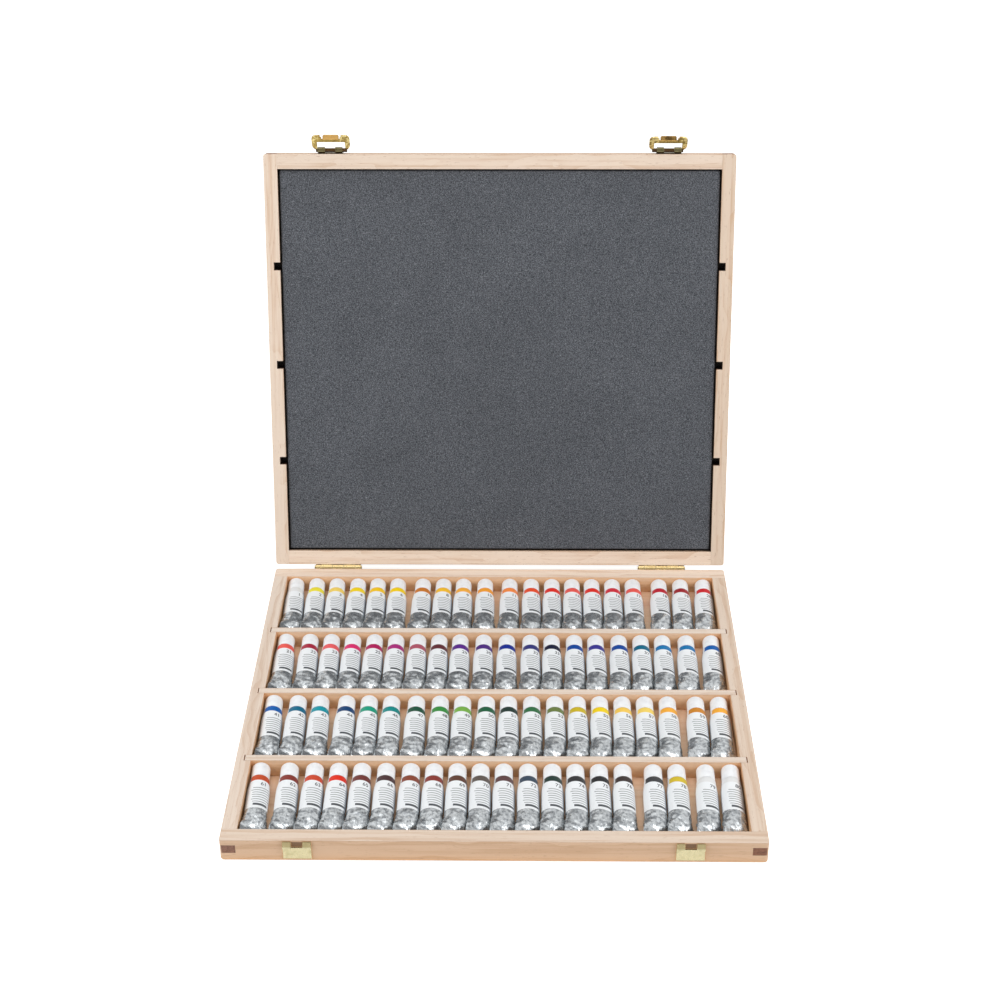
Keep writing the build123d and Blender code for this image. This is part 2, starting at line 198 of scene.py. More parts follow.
def bumped(strength, distance, height, normal=None):
    inputs = {"Strength": strength, "Distance": distance, "Height": height}
    if normal:
        inputs["Normal"] = normal
    return add_node(tree_of(height), "ShaderNodeBump", inputs).outputs[0]


# %% Groups, finishes, colours and pieces
def new_group(name, kind, inputs, outputs):
    group = bpy.data.node_groups.new(name, kind)
    for side, sockets in (("INPUT", inputs), ("OUTPUT", outputs)):
        for socket_name, socket_kind in sockets.items():
            group.interface.new_socket(socket_name, in_out=side, socket_type="NodeSocket" + socket_kind)
    return group, group.nodes.new("NodeGroupInput").outputs, group.nodes.new("NodeGroupOutput")


def new_finish(name, inputs):
    material = bpy.data.materials.new(name)
    material.use_nodes = True
    tree = material.node_tree
    tree.nodes.clear()
    shader = add_node(tree, "ShaderNodeBsdfPrincipled", inputs)
    output = add_node(tree, "ShaderNodeOutputMaterial", {"Surface": shader.outputs["BSDF"]})
    output.location.x = 300
    return material, tree, shader


def feed(node, **sockets):
    for key, value in sockets.items():
        node.id_data.links.new(value, node.inputs[key.replace("_", " ")])


def from_screen(red, green, blue):
    channels = [value / 255 for value in (red, green, blue)]
    linear = [c / 12.92 if c <= 0.04045 else ((c + 0.055) / 1.055) ** 2.4 for c in channels]
    return (*linear, 1.0)


def link_piece(name, mesh):
    piece = bpy.data.objects.new(name, mesh)
    bpy.context.scene.collection.objects.link(piece)
    return piece


# %% [markdown]
# ## The studio
# A white table, white surroundings and large soft lamps left, right and above, as for a catalogue picture.
# The camera, and anything shiny, sees the surroundings at full white. What lights the wood is kept at a plain
# level, so a colour renders about as it is written. The table glows in the same way, which hides the horizon
# and still leaves the soft shadow where the box stands. A dark card stands behind the camera: brass and foil
# that face it turn deep, and beside it they catch the white, so their shapes can be read. Each lamp has its
# place, the point it is aimed at, its width, its height and its power.

# %% Surroundings and lamps
AMBIENT_LIGHT = 0.41
TABLE_GLOW = 0.72
TABLE_RADIUS = 4.0
TABLE_DROP = 0.2 * MM

world = bpy.data.worlds.new("white surroundings")
world.use_nodes = True
world.node_tree.nodes.clear()


def seen_directly(tree):
    path = add_node(tree, "ShaderNodeLightPath").outputs
    shiny = calc("MAXIMUM", path["Is Glossy Ray"], path["Is Transmission Ray"])
    return calc("MAXIMUM", path["Is Camera Ray"], shiny)


strength = ramp(seen_directly(world.node_tree), 0.0, 1.0, AMBIENT_LIGHT, 1.0, smooth=False)
sky = add_node(world.node_tree, "ShaderNodeBackground", {"Color": (1, 1, 1, 1), "Strength": strength})
add_node(world.node_tree, "ShaderNodeOutputWorld", {"Surface": sky.outputs[0]})
bpy.context.scene.world = world


def flat_stage_piece(name, corners, finish):
    mesh = bpy.data.meshes.new(name)
    mesh.from_pydata(corners, [], [list(range(len(corners)))])
    mesh.materials.append(finish)
    link_piece(name.replace(" ", "_"), mesh)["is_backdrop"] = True


table_finish, tree, shader = new_finish("white table", {
    "Base Color": (0.82, 0.82, 0.82, 1), "Roughness": 0.9, "Specular IOR Level": 0.0,
    "Emission Color": (1, 1, 1, 1)})
feed(shader, Emission_Strength=times(seen_directly(tree), TABLE_GLOW))
flat_stage_piece("table", [(TABLE_RADIUS * math.cos(a), TABLE_RADIUS * math.sin(a), -TABLE_DROP)
                           for a in np.linspace(0, 2 * math.pi, 96, endpoint=False)], table_finish)

CARD_WIDTH = 2.4
CARD_HEIGHT = 1.5
CARD_PLACE = Vector((0.0, -1.9, 1.75))
CARD_TILT = math.radians(48)

card_finish, tree, shader = new_finish("dark card", {
    "Base Color": (0.03, 0.03, 0.03, 1), "Roughness": 0.95, "Specular IOR Level": 0.0})
card_turn = Matrix.Translation(CARD_PLACE) @ Matrix.Rotation(CARD_TILT, 4, "X")
flat_stage_piece("dark card", [card_turn @ Vector((x * CARD_WIDTH / 2, y * CARD_HEIGHT / 2, 0))
                               for x, y in ((-1, -1), (1, -1), (1, 1), (-1, 1))], card_finish)


def soft_lamp(name, place, aim, width, height, power):
    data = bpy.data.lights.new(name, "AREA")
    data.shape = "RECTANGLE"
    data.size, data.size_y, data.energy = width, height, power
    lamp = bpy.data.objects.new(name, data)
    bpy.context.scene.collection.objects.link(lamp)
    lamp.location = place
    lamp.rotation_euler = (Vector(aim) - Vector(place)).to_track_quat("-Z", "Y").to_euler()


LAMPS = {
    "left lamp": ((-1.35, -0.75, 1.0), (0, 0.05, 0.08), 1.0, 0.9, 13.2),
    "right lamp": ((1.35, -0.75, 1.0), (0, 0.05, 0.08), 1.0, 0.9, 13.2),
    "overhead lamp": ((0.0, -0.15, 1.9), (0, 0.05, 0.0), 1.6, 1.2, 10.2),
}
for name, settings in LAMPS.items():
    soft_lamp(name, *settings)
print("studio: table, dark card and", len(LAMPS), "soft lamps")

# %% [markdown]
# ## Edge wear and painted edge light, shared by wood and metal
# No real edge is a perfect knife edge. The Bevel node looks for nearby corners and gives a rounded normal
# there, which catches a thin highlight. Where that normal leaves the true one, the surface counts as an edge,
# and a little noise breaks the line up, as handling does. One group serves every material that has edges. On
# wood the edge mask darkens the colour as wear; on brass it also carries painted light, a painted highlight
# on most pieces and painted shade on the loops.

# %% Group: edge wear and painted edge light
edge_wear_and_light, given, result = new_group(
    "Edge Wear And Light", "ShaderNodeTree", {"Vector": "Vector", "Radius": "Float", "Unevenness": "Float"},
    {"Wear": "Float", "Normal": "Vector"})
rounded = add_node(edge_wear_and_light, "ShaderNodeBevel", {"Radius": given["Radius"]}, samples=4).outputs[0]
true_normal = add_node(edge_wear_and_light, "ShaderNodeNewGeometry").outputs["True Normal"]
edge = ramp(vector_calc("DOT_PRODUCT", rounded, true_normal, "Value"), 0.98, 0.75)
patchy = ramp(noise_of(given["Vector"], 160, 3.0), 0.35, 0.65)
wear_and_light = times(edge, ramp(given["Unevenness"], 0, 1, 1.0, patchy, smooth=False))
feed(result, Wear=wear_and_light, Normal=rounded)
print("worn edge group:", len(edge_wear_and_light.nodes), "nodes")

# %% [markdown]
# ## Beech
# The box is unfinished beech: pale, slightly pink, with soft growth bands, fine fibres and the short brown
# flecks that only beech has. One group works in the plank's own axes, with X along the grain, so a plank can
# lie any way. Where a face looks along the grain it is end grain, which soaks up more and is a dark reddish
# brown, as on the fingers of the corner joints. Faces that look up in the shut box, the rims, are paler than
# the side faces: partly the sanded wood, partly painted light from above.

# %% Group: beech
BEECH_PALE = from_screen(228, 209, 191)
BEECH_WARM = from_screen(222, 189, 159)
BEECH_BAND = from_screen(196, 156, 120)
BEECH_FLECK = from_screen(158, 116, 86)
BEECH_PAINTED_BOUNCE = from_screen(244, 184, 122)
BEECH_PAINTED_SHADE = from_screen(30, 18, 10)
BEECH_END = from_screen(142, 98, 78)
BEECH_END_RING = from_screen(98, 62, 50)
HEART_ASIDE = 30 * MM
HEART_BELOW = 50 * MM
WAVER_SIZE = 30 * MM
WAVER_SCALE = (9, 30, 30)
FIBRE_SCALE = (30, 1300, 1300)
STREAK_SCALE = (5, 260, 260)
FLECK_SCALE = (200, 2600, 2600)
PORE_SCALE = (500, 1700, 1700)

beech, given, result = new_group(
    "Beech", "ShaderNodeTree",
    {"Vector": "Vector", "Facing": "Vector", "Band Width": "Float", "Band Strength": "Float",
     "Flecks": "Float"},
    {"Color": "Color", "Roughness": "Float", "Height": "Float"})
facing = axes_of(given["Facing"])
place = axes_of(given["Vector"])
is_end = ramp(size_of(facing["X"]), 0.75, 0.95)
is_rim = ramp(size_of(facing["Z"]), 0.3, 0.9)
waver = stretched_noise(given["Vector"], WAVER_SCALE, 3.0)
drift = times(minus(waver, 0.5), WAVER_SIZE)
across = plus(plus(place["Y"], HEART_ASIDE), drift)
upward = plus(plus(place["Z"], HEART_BELOW), drift)
from_heart = calc("SQRT", plus(times(across, across), times(upward, upward)))
late_wood = calc("POWER", calc("FRACT", calc("DIVIDE", from_heart, given["Band Width"])), 2.5)
fibres = stretched_noise(given["Vector"], FIBRE_SCALE, 3.0, 0.6)
streaks = stretched_noise(given["Vector"], STREAK_SCALE, 3.0, 0.6)
banding = times(late_wood, given["Band Strength"])
tone = plus(banding, ramp(streaks, 0.36, 0.66, -0.15, 0.75))
tone = plus(tone, ramp(fibres, 0.4, 0.7, -0.08, 0.22), clamp=True)
# Partly painted light: faces that look up take the paler colour.
face_colour = mix_colour(is_rim, BEECH_WARM, BEECH_PALE)
side_grain = mix_colour(tone, face_colour, BEECH_BAND)
side_grain = mix_colour(times(tone, 0.5), face_colour, side_grain)
dashes = stretched_noise(given["Vector"], FLECK_SCALE, 1.0)
fleck = times(ramp(dashes, 0.68, 0.76), given["Flecks"])
side_grain = mix_colour(fleck, side_grain, BEECH_FLECK)
pores = stretched_noise(given["Vector"], PORE_SCALE, 2.0)
end_tone = times(plus(late_wood, ramp(pores, 0.4, 0.65)), 0.5)
end_grain = mix_colour(end_tone, BEECH_END, BEECH_END_RING)
wood_colour = mix_colour(is_end, side_grain, end_grain)
height = plus(times(fibres, 0.6), times(dashes, 0.4))
feed(result, Color=wood_colour, Roughness=ramp(fibres, 0.3, 0.7, 0.52, 0.68), Height=height)
print("beech group:", len(beech.nodes), "nodes")

# %% [markdown]
# ## Planks
# Every rail and divider is its own plank, so each gets its own material: the grain runs along the plank, and
# a shift moves the pattern so that two planks never match at a joint. A Mapping node turns the pattern. For
# the open lid it first turns it back by the lid's angle, as if the lid were shut, and then along the rail.
# Light that bounces from wood to wood gets warmer each time, so where the Ambient Occlusion node finds a
# nook, the colour is painted honey, a painted stand-in for that bounce light. In the lid's notches it is
# painted almost black as painted shade, and between the ears of each catch the front rail is painted dark as
# painted shade. The table gives each plank its two turns, the width of its growth bands in millimetres, their
# strength, and how many flecks it has, how pale it is and how warm.

# %% Wood on the rails, dividers, floor and panel
ALONG_X = 0.0
ALONG_Y = -math.pi / 2
PLANKS = {
    "tray_front_rail": (ALONG_X, 0, 5.5, 0.8, 0.5, 1.0, 1.0),
    "tray_back_rail": (ALONG_X, 0, 6.5, 0.5, 0.5, 1.1, 0.93),
    "tray_left_rail": (ALONG_Y, 0, 5.0, 0.5, 0.5, 1.04, 0.88),
    "tray_right_rail": (ALONG_Y, 0, 6.0, 0.5, 0.5, 1.0, 1.0),
    "divider_front": (ALONG_X, 0, 5.0, 0.4, 0.5, 1.02, 0.88),
    "divider_middle": (ALONG_X, 0, 6.0, 0.4, 0.5, 1.06, 0.88),
    "divider_back": (ALONG_X, 0, 5.5, 0.4, 0.5, 1.06, 0.85),
    # Painted light: the tray floor's high paleness makes up for the light the tubes keep from it.
    "tray_floor": (ALONG_X, 0, 9.0, 0.3, 0.4, 1.4, 0.78),
    "lid_front_rail": (ALONG_X, LID_ANGLE, 5.5, 0.5, 0.7, 1.0, 1.0),
    # Painted light: the lid's back rail is made paler to make up for the light the tray keeps from it.
    "lid_back_rail": (ALONG_X, LID_ANGLE, 6.5, 0.6, 0.7, 1.09, 1.0),
    "lid_left_rail": (ALONG_Y, LID_ANGLE, 5.0, 0.5, 0.6, 1.02, 1.0),
    "lid_right_rail": (ALONG_Y, LID_ANGLE, 6.0, 0.5, 0.6, 0.92, 1.12),
    "lid_panel": (ALONG_X, LID_ANGLE, 9.0, 0.25, 0.4, 1.0, 1.0),
}
PLANK_SHIFT = Vector((0.37, 0.083, 0.059))
EDGE_RADIUS = 0.55 * MM
GRAIN_HEIGHT = 0.05 * MM
SHADE_REACH = 14 * MM
PAINTED_BOUNCE_STRENGTH = 0.6
PAINTED_SHADE_BROWN = from_screen(92, 62, 36)
CATCH_X = sum(corner.x for corner in map(Vector, cad_nodes["right_clasp_catch"].bound_box)) / 8
SHADE_PATCH_HALF = 3.95 * MM
SHADE_PATCH_HEIGHTS = (11.9 * MM, 16.6 * MM)
SHADE_PATCH_BLUR = 0.4 * MM


def wood_finish(name, turn, lid_turn, shift, band_width, band_strength, flecks, paleness, warmth):
    finish, tree, shader = new_finish("beech " + name, {"Specular IOR Level": 0.3})
    place = add_node(tree, "ShaderNodeTexCoord").outputs
    rotation = (lid_turn, 0, turn)
    grain = add_node(tree, "ShaderNodeMapping",
                     {"Vector": place["Object"], "Location": shift, "Rotation": rotation}).outputs[0]
    facing = add_node(tree, "ShaderNodeMapping", {"Vector": place["Normal"], "Rotation": rotation},
                      vector_type="VECTOR").outputs[0]
    wood = use_group(tree, beech, {"Vector": grain, "Facing": facing, "Band Width": band_width * MM,
                                   "Band Strength": band_strength, "Flecks": flecks})
    edge = use_group(tree, edge_wear_and_light, {"Vector": grain, "Radius": EDGE_RADIUS, "Unevenness": 0.7})
    colour = mix_colour(times(edge["Wear"], 0.3), wood["Color"], BEECH_BAND)
    colour = add_node(tree, "ShaderNodeHueSaturation",
                      {"Color": colour, "Saturation": warmth, "Value": paleness}).outputs[0]
    openness = openness_within(tree, SHADE_REACH)
    # Painted shade: between the ears of each catch the front rail is painted dark brown, where the ears shade
    # it.
    if name == "tray_front_rail":
        axes = axes_of(place["Object"])
        from_catch = size_of(minus(size_of(axes["X"]), CATCH_X))
        painted_light_patch = ramp(from_catch, SHADE_PATCH_HALF, SHADE_PATCH_HALF - SHADE_PATCH_BLUR)
        painted_light_patch = times(painted_light_patch, mask_between(axes["Z"], SHADE_PATCH_HEIGHTS, SHADE_PATCH_BLUR))
        colour = mix_colour(times(painted_light_patch, 0.85), colour, PAINTED_SHADE_BROWN)
    # Painted light from the Ambient Occlusion node: in the lid its nooks and notches are painted almost black
    # as painted shade, in the tray they are painted honey as painted bounce light.
    if lid_turn:
        colour = mix_colour(ramp(openness, 0.6, 0.4), colour, BEECH_PAINTED_SHADE)
    else:
        colour = mix_colour(ramp(openness, 0.85, 0.35, 0.0, PAINTED_BOUNCE_STRENGTH), colour, BEECH_PAINTED_BOUNCE)
    relief = bumped(0.6, GRAIN_HEIGHT, wood["Height"], edge["Normal"])
    feed(shader, Base_Color=colour, Roughness=wood["Roughness"], Normal=relief)
    return finish


def dress(node_name, finish):
    node = cad_nodes[node_name]
    node.data.materials.clear()
    node.data.materials.append(finish)


for index, (name, (turn, lid_turn, *grain)) in enumerate(PLANKS.items()):
    finish = wood_finish(name, turn, lid_turn, PLANK_SHIFT * index, *grain)
    dress(name, finish)
print("planks:", len(PLANKS))

# %% [markdown]
# ## Brass
# Hinges and clasps are thin pressed brass. The hinges are a deep yellow, the catch plates have a paler,
# lacquered coat, the clasp loops are plated a golden brown and the ears that hold them are a dark grey-brown.
# All four share one group: faint rolling lines along the strip, a cloudy tarnish that lowers the shine in
# places, and small dents that make the highlights wander. Each finish also has painted light: seams painted
# brown as painted shade, faces that look up given a painted reflection, and painted glints on the loops'
# arms.

# %% Group: pressed metal
CLOUD_SCALE = 210
DENT_SCALE = 340
LINE_SPACING = 0.25 * MM
ROLLING_LINES = (40, 1 / LINE_SPACING, 1 / LINE_SPACING)

pressed_metal, given, result = new_group(
    "Pressed Metal", "ShaderNodeTree", {"Vector": "Vector", "Smoothness": "Float"},
    {"Tarnish": "Float", "Roughness": "Float", "Height": "Float"})
cloud = noise_of(given["Vector"], CLOUD_SCALE, 4.0, 0.6)
lines = stretched_noise(given["Vector"], ROLLING_LINES, 1.0)
dents = noise_of(given["Vector"], DENT_SCALE, 1.0)
matt = minus(1.0, given["Smoothness"])
roughness = plus(matt, ramp(cloud, 0.35, 0.7, -0.05, 0.14), clamp=True)
feed(result, Tarnish=ramp(cloud, 0.45, 0.75), Roughness=roughness, Height=plus(dents, times(lines, 0.15)))
print("pressed metal group:", len(pressed_metal.nodes), "nodes")


def metal_finish(name, bright, tarnished, smoothness, dent_height, edge_radius, edge_colour, painted_top_colour=None,
                 axle=None):
    finish, tree, shader = new_finish(name, {"Metallic": 1.0})
    place = object_place(tree)
    metal = use_group(tree, pressed_metal, {"Vector": place, "Smoothness": smoothness})
    edge = use_group(tree, edge_wear_and_light, {"Vector": place, "Radius": edge_radius, "Unevenness": 0.5})
    colour = mix_colour(times(metal["Tarnish"], 0.6), bright, tarnished)
    # Edges take the edge colour: on hinges, plates and ears a bright one, partly wear and partly painted
    # highlight; on the loops a dark one, painted shade.
    colour = mix_colour(times(edge["Wear"], 0.6), colour, edge_colour)
    # Painted reflection: faces that look up, high on the piece, take a darker colour, as if they reflected
    # the dark above.
    if painted_top_colour:
        upward = axes_of(add_node(tree, "ShaderNodeNewGeometry").outputs["True Normal"])["Z"]
        above = ramp(axes_of(place)["Z"], TOP_START, TOP_START + TOP_BLUR)
        colour = mix_colour(times(ramp(upward, 0.1, 0.4), above), colour, painted_top_colour)
    if axle:
        beside = vector_calc("MULTIPLY", place, (0, 1, 1))
        reach = vector_calc("DISTANCE", beside, (0, axle.y, axle.z), "Value")
        from_middle = size_of(minus(size_of(axes_of(place)["X"]), abs(axle.x)))
        on_arm = ramp(from_middle, ARM_START, ARM_START + ARM_BLUR)
        # Painted highlight: bright gold glints in noisy patches on the loop's arms.
        painted_light_patch = ramp(noise_of(place, GLINT_SCALE, 1.0), 0.42, 0.58)
        colour = mix_colour(times(painted_light_patch, on_arm), colour, PAINTED_GLINT_GOLD)
        # Painted shade: the loop is painted brown close to its axle.
        colour = mix_colour(ramp(reach, AXLE_SHADE, AXLE_RADIUS), colour, PAINTED_SEAM_SHADE)
    # Painted shade: brass is painted brown where the Ambient Occlusion node finds a seam or a nook.
    colour = mix_colour(ramp(openness_within(tree, SEAM_SHADE_REACH), 0.75, 0.2), colour, PAINTED_SEAM_SHADE)
    relief = bumped(1.0, dent_height, metal["Height"], edge["Normal"])
    feed(shader, Base_Color=colour, Roughness=metal["Roughness"], Normal=relief)
    return finish


# %% Four brasses
# Edge colours: the bright one is partly wear and partly a painted highlight, the dark one is painted shade
# along the loop's edges.
BRIGHT_EDGE_WEAR_AND_HIGHLIGHT = from_screen(244, 236, 190)
DARK_EDGE_PAINTED_SHADE = from_screen(88, 70, 34)
PAINTED_SEAM_SHADE = from_screen(84, 62, 40)
SEAM_SHADE_REACH = 2.5 * MM
TOP_START = 13.6 * MM
TOP_BLUR = 0.3 * MM
AXLE_RADIUS = 1.6 * MM
AXLE_SHADE = 1.9 * MM
LOOP_AXLE = Vector(next(joint for joint in frame["joints"] if joint["name"] == "left_bail_hinge")["pos_m"])
HINGE_YELLOW = from_screen(220, 198, 144)
HINGE_BROWN = from_screen(168, 136, 80)
PLATE_TOP_PAINTED = from_screen(158, 144, 106)
PLATE_CREAM = from_screen(185, 177, 142)
PLATE_GREEN = from_screen(158, 150, 112)
EAR_GREY = from_screen(112, 104, 74)
EAR_BROWN = from_screen(76, 60, 42)
LOOP_GOLD = from_screen(184, 160, 92)
PAINTED_GLINT_GOLD = from_screen(248, 230, 160)
GLINT_SCALE = 420
ARM_START = 7.6 * MM
ARM_BLUR = 1.5 * MM
TAB_PAINTED_BROWN = from_screen(176, 140, 82)
LOOP_BROWN = from_screen(120, 92, 48)
hinge_brass = metal_finish("hinge brass", HINGE_YELLOW, HINGE_BROWN, smoothness=0.78, dent_height=0.05 * MM,
                           edge_radius=0.25 * MM, edge_colour=BRIGHT_EDGE_WEAR_AND_HIGHLIGHT)
plate_brass = metal_finish("pale plate brass", PLATE_CREAM, PLATE_GREEN, smoothness=0.72,
                           dent_height=0.03 * MM, edge_radius=0.45 * MM, edge_colour=BRIGHT_EDGE_WEAR_AND_HIGHLIGHT,
                           painted_top_colour=PLATE_TOP_PAINTED)
loop_brass = metal_finish("golden loop brass", LOOP_GOLD, LOOP_BROWN, smoothness=0.7, dent_height=0.05 * MM,
                          edge_radius=0.5 * MM, edge_colour=DARK_EDGE_PAINTED_SHADE, painted_top_colour=TAB_PAINTED_BROWN, axle=LOOP_AXLE)
ear_brass = metal_finish("dark ear brass", EAR_GREY, EAR_BROWN, smoothness=0.66, dent_height=0.05 * MM,
                         edge_radius=0.2 * MM, edge_colour=BRIGHT_EDGE_WEAR_AND_HIGHLIGHT)
for side in SIDES:
    for part in ("hinge_tray_leaf", "hinge_lid_leaf", "hinge_pin", "hinge_tray_screws", "hinge_lid_screws"):
        dress(f"{side}_{part}", hinge_brass)
    dress(f"{side}_clasp_catch", plate_brass)
    dress(f"{side}_clasp_lid_plate", ear_brass)
    dress(f"{side}_clasp_bail", loop_brass)
print("dressed in brass:", 8 * len(SIDES), "pieces")

# %% [markdown]
# ## Where the tubes lie
# The CAD already holds eighty tubes, each with its own small shift, turn and roll. The places are read back
# from its meshes, so this lesson never disagrees with them. A cap is round, so its longest direction is the
# tube's axis. The crimp is a flat bar across the tube's tail, so its farthest corners give the roll.

# %% Places of the tubes
TUBE_RADIUS = 6.75 * MM
BODY_LENGTH = 49.7 * MM
CAP_LIFT = 0.4 * MM
CRIMP_HALF = math.pi * TUBE_RADIUS / 2
CAP_PARTING = 2 * MM
BASE_SLACK = 0.05 * MM
CORNER_SLACK = 0.3 * MM


def corner_points(node_name):
    mesh = cad_nodes[node_name].data
    points = np.empty(len(mesh.vertices) * 3, np.float32)
    mesh.vertices.foreach_get("co", points)
    return np.unique(points.reshape(-1, 3).astype(float).round(6), axis=0)


def tube_matrices(row):
    caps = corner_points(row + "_caps")
    bodies = corner_points(row + "_tubes")
    caps = caps[np.argsort(caps[:, 0])]
    breaks = np.nonzero(np.diff(caps[:, 0]) > CAP_PARTING)[0] + 1
    matrices = []
    for cap in np.split(caps, breaks):
        middle = cap.mean(axis=0)
        axis = Vector(np.linalg.svd(cap - middle)[2][0])
        axis *= math.copysign(1.0, axis.y)
        along_cap = (cap - middle) @ np.array(axis)
        base = cap[along_cap < along_cap.min() + BASE_SLACK].mean(axis=0)
        start = Vector(base) - axis * CAP_LIFT
        away = bodies - np.array(start)
        along = away @ np.array(axis)
        across = away - along[:, None] * np.array(axis)
        reach = np.linalg.norm(across, axis=1)
        lower_right = (across[:, 0] > 0) & (across[:, 2] < 0)
        own = lower_right & (np.abs(reach - CRIMP_HALF) < CORNER_SLACK) & (along < -BODY_LENGTH)
        corner = Vector(across[own].mean(axis=0)).normalized()
        upward = corner.cross(axis)
        matrices.append(Matrix((corner, axis, upward)).transposed().to_4x4())
        matrices[-1].translation = start
    return matrices


tube_places = {row: tube_matrices(row) for row in ROW_NAMES}
rolls = [math.degrees(math.asin(-m[2][0])) for row in ROW_NAMES for m in tube_places[row]]
print("tubes found:", [len(tube_places[row]) for row in ROW_NAMES])
print("rolled by", round(min(rolls), 1), "to", round(max(rolls), 1), "degrees")

# %% [markdown]
# ## The shape of one tube
# A paint tube is a round aluminium sleeve, squeezed flat at its tail and folded over into a hem. Its girth
# never changes, so as it gets flatter it gets wider. The mesh is a stack of rings that follow this rule: a
# circle at the shoulder, a low belly that lies nearly level, then a twist and a steep drop to the hem. Points
# are spread by girth. The tube's own UV map runs once round it and from shoulder to hem, so print and foil
# can follow the surface.

# %% Rings of a tube
ROUND_LENGTH = 3.0 * MM
BELLY_WIDTH = 15.5 * MM
BELLY_START = 14.0 * MM
BELLY_TURN = math.radians(25.0)
TAIL_START = 30.0 * MM
FLATTENING = 2.5
FULLNESS = 0.6
CRIMP_LENGTH = 6.5 * MM
CRIMP_THICKNESS = 1.4 * MM
CRIMP_EASE = 1.2 * MM
HEM_LENGTH = 3.6 * MM
HEM_THICKNESS = 2.0 * MM
HEM_ROUNDING = 0.3 * MM
HEM_STEP = 0.1 * MM
TUBE_FULL_LENGTH = BODY_LENGTH + CRIMP_LENGTH
AROUND = 44
SLEEVE_RINGS = 56
NECK_PROFILE = [(-1.5, 3.4), (0.0, 3.5), (0.0, 5.95), (0.25, 6.5), (0.8, TUBE_RADIUS / MM)]
SLEEVE_START = 1.6 * MM


def tube_section(distance):
    swelling = min(1.0, max(0.0, distance - ROUND_LENGTH) / (BELLY_START - ROUND_LENGTH))
    belly_half = TUBE_RADIUS + (BELLY_WIDTH / 2 - TUBE_RADIUS) * math.sin(math.pi / 2 * swelling)
    belly_height = math.sqrt(2 * TUBE_RADIUS ** 2 - belly_half ** 2)
    flat = (max(0.0, distance - TAIL_START) / (BODY_LENGTH - TAIL_START)) ** FLATTENING
    half_height = max(belly_height * (1 - flat) ** FULLNESS, CRIMP_THICKNESS / 2)
    return belly_half + (CRIMP_HALF - belly_half) * flat, half_height, flat


def turned(x, z, flat):
    # The belly lies flatter in the box than the crimp, so its sections are turned back against the roll.
    turn = BELLY_TURN * (1 - flat)
    return x * math.cos(turn) - z * math.sin(turn), x * math.sin(turn) + z * math.cos(turn)


def tube_ring(distance, half_width, half_height, flat):
    squareness = 2 + 6 * flat ** 4
    ring = []
    for step in range(AROUND):
        angle = 2 * math.pi * (step + 0.5) / AROUND
        half_turn = angle % math.pi
        share = (1 - flat) * math.cos(half_turn) + flat * (1 - 2 * half_turn / math.pi)
        top = angle < math.pi
        x = half_width * share * (1 if top else -1)
        z = half_height * max(0.0, 1 - abs(share) ** squareness) ** (1 / squareness)
        x, z = turned(x, z if top else -z, flat)
        ring.append((x, -distance, z))
    return ring


def tube_rings():
    rings = [(distance * MM, radius * MM, radius * MM, 0) for distance, radius in NECK_PROFILE]
    sleeve = np.linspace(SLEEVE_START, BODY_LENGTH, SLEEVE_RINGS)
    rings += [(distance, *tube_section(distance)) for distance in sleeve]
    thin, thick = CRIMP_THICKNESS / 2, HEM_THICKNESS / 2
    hem_start = TUBE_FULL_LENGTH - HEM_LENGTH
    tail = [(BODY_LENGTH + CRIMP_EASE, thin), (hem_start - HEM_ROUNDING, thin), (hem_start, thin),
            (hem_start + HEM_STEP, thick), (hem_start + HEM_LENGTH / 3, thick),
            (hem_start + HEM_LENGTH * 2 / 3, thick), (TUBE_FULL_LENGTH - HEM_ROUNDING, thick),
            (TUBE_FULL_LENGTH, thick * 0.7)]
    return rings + [(distance, CRIMP_HALF, half_height, 1) for distance, half_height in tail]


# %% A mesh of stacked rings
def stacked_mesh(name, rings, spans, foil):
    points = [point for ring in rings for point in ring]
    count = len(rings[0])
    points += [tuple(np.mean(rings[0], axis=0)), tuple(np.mean(rings[-1], axis=0))]
    faces, corners = [], []
    for row in range(len(rings) - 1):
        for step in range(count):
            after = (step + 1) % count
            first, second = row * count, (row + 1) * count
            faces.append((first + step, first + after, second + after, second + step))
            left, right = step / count, (step + 1) / count
            near, far = spans[row], spans[row + 1]
            corners += [(left, near), (right, near), (right, far), (left, far)]
    last = (len(rings) - 1) * count
    for step in range(count):
        after = (step + 1) % count
        left, right = step / count, (step + 1) / count
        faces.append((after, step, len(points) - 2))
        corners += [(right, spans[0]), (left, spans[0]), (left, spans[0])]
        faces.append((last + step, last + after, len(points) - 1))
        corners += [(left, spans[-1]), (right, spans[-1]), (left, spans[-1])]
    mesh = bpy.data.meshes.new(name)
    mesh.from_pydata(points, [], faces)
    uv_map = mesh.uv_layers.new(name="Wrap")
    uv_map.data.foreach_set("uv", np.array(corners, np.float32).ravel())
    amount = mesh.attributes.new("foil", "FLOAT", "POINT")
    amount.data.foreach_set("value", np.repeat(foil, count).tolist() + [0.0, 0.0])
    return mesh


# %% Tube and cap prototypes
FOIL_SPOTS = [0, 30, 33.5, 35.5, 42, 47, 52, 57]
FOIL_CREASING = [0, 0.05, 0.12, 0.8, 1, 0.8, 0.4, 0.3]
tube_spans = tube_rings()
distances = [span[0] for span in tube_spans]
plain_tube = link_piece("plain_tube", stacked_mesh(
    "plain tube", [tube_ring(*span) for span in tube_spans],
    [max(0.0, distance) / TUBE_FULL_LENGTH for distance in distances],
    [float(np.interp(distance / MM, FOIL_SPOTS, FOIL_CREASING)) for distance in distances]))

